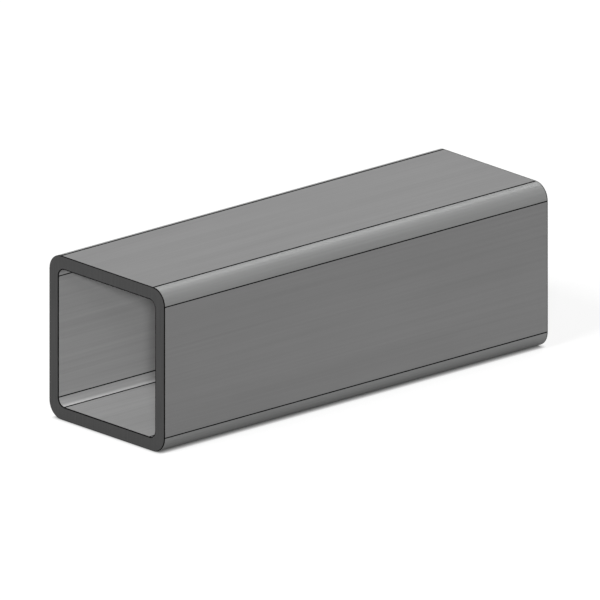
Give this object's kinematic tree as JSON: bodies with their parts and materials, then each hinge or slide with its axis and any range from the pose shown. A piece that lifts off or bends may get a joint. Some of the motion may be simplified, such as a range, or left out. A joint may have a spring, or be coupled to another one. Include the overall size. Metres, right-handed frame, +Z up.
{
  "type": "square metal tube",
  "caption": "Short straight length of square hollow section in plain steel, with rounded bends, an open square bore and sawn, deburred ends.",
  "frame": {"origin": "on the underside of the tube, below the middle of its length and width, as it lies on a floor", "axes": "+X along the tube towards the end that is far from the camera in the picture, -Y out of the long side that the picture shows, +Z up"},
  "size_m": [0.15, 0.05, 0.05],
  "materials": {
    "steel": "satin"
  },
  "bodies": {
    "root": {"tube": "steel"}
  },
  "joints": []
}
